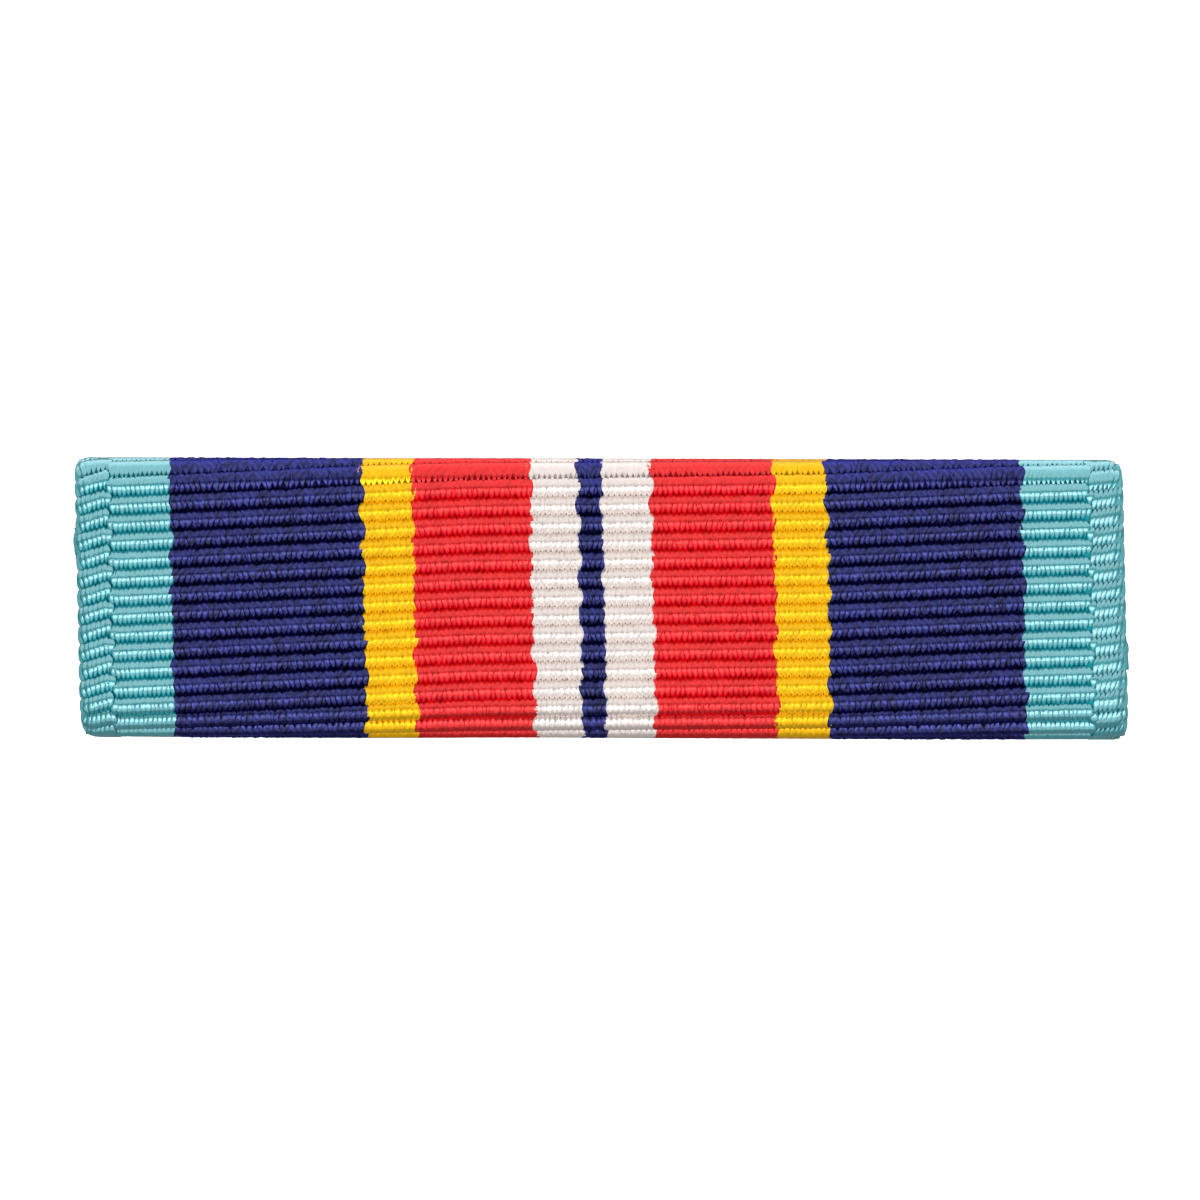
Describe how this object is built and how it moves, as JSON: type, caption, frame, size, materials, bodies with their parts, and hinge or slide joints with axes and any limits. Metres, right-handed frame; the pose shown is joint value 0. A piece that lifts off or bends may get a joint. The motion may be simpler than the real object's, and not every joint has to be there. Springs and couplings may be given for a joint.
{
  "type": "ribbon bar",
  "caption": "Slim oblong bar of ribbed, striped ribbon wound round a bent sheet-metal carrier, with a channel at the back that slides onto a mounting bar.",
  "frame": {"origin": "centre of the box under the bar, on the surface that it lies on", "axes": "+X along the bar, to the right in the picture, +Y up the front, +Z out of the front"},
  "size_m": [0.0354, 0.0094, 0.003],
  "materials": {
    "carrier_metal": "rolled brass sheet, lightly tarnished",
    "woven_ribbon": "ribbed weave with a slight sheen, striped teal, navy, yellow, red and white"
  },
  "bodies": {
    "root": {"carrier": "carrier_metal", "ribbon": "woven_ribbon"}
  },
  "joints": []
}
